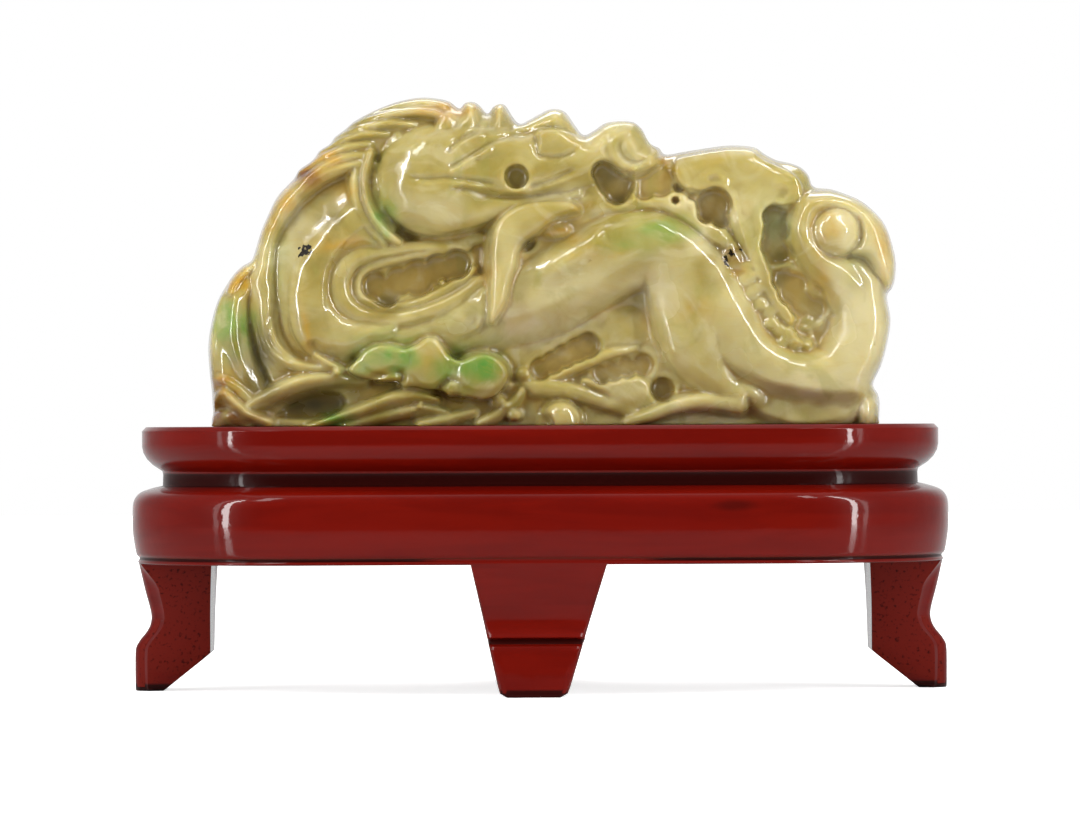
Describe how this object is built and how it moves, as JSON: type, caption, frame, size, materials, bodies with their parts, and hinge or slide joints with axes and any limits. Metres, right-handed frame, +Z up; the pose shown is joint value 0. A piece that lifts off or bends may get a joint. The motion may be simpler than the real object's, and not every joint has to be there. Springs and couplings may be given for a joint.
{
  "type": "jade dragon carving",
  "caption": "Polished jade carving of a coiled dragon resting on a glossy red lacquered wooden stand with a bulging apron and tapered legs.",
  "frame": {"origin": "centre of the stand, on the plane of its foot soles", "axes": "+Z up, +X towards the dragon's tail along the stand's length, -Y towards the front"},
  "size_m": [0.178, 0.096, 0.1299],
  "materials": {
    "jade": "polished translucent jade, olive yellow to cream with green patches",
    "red_lacquer": "glossy dark red lacquer over carved wood, with a black painted waist groove"
  },
  "bodies": {
    "root": {"jade_dragon": "jade", "wooden_stand": "red_lacquer"}
  },
  "joints": []
}
